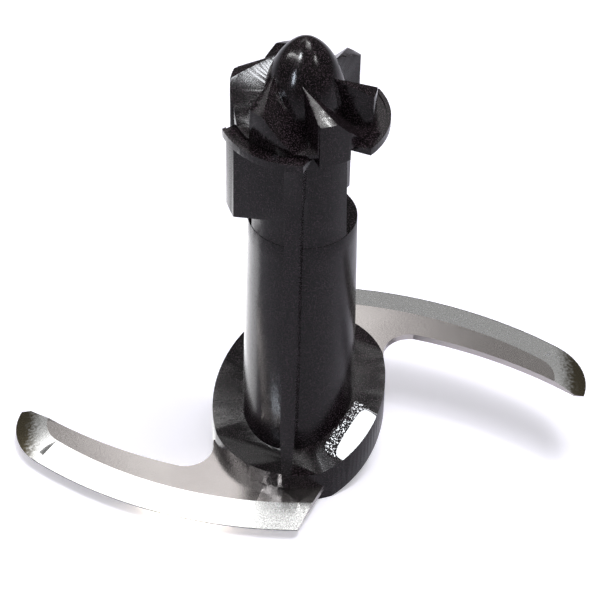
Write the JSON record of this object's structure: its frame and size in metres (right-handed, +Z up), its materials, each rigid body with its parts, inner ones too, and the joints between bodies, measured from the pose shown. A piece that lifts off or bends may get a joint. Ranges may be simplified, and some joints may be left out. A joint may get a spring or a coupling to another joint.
{
  "type": "food processor blade",
  "caption": "Bent steel chopping blade with two curved wings, moulded into a black plastic hub with a tall shaft, a side fin and a dome-tipped toothed drive cap.",
  "frame": {"origin": "on the axis of rotation, at the level of the surface that the hub stands on", "axes": "+Z up the axis of rotation towards the drive cap, +X towards the tip of the high wing, +Y level and away from the side with the low wing's heel"},
  "size_m": [0.1326, 0.0636, 0.116],
  "materials": {
    "blade": "satin flats with a bright ground bevel",
    "hub": "glossy with a fine grain",
    "drive_cap": "glossy with a fine grain"
  },
  "bodies": {
    "root": {"blade": "blade", "hub": "hub", "drive_cap": "drive_cap"}
  },
  "joints": []
}
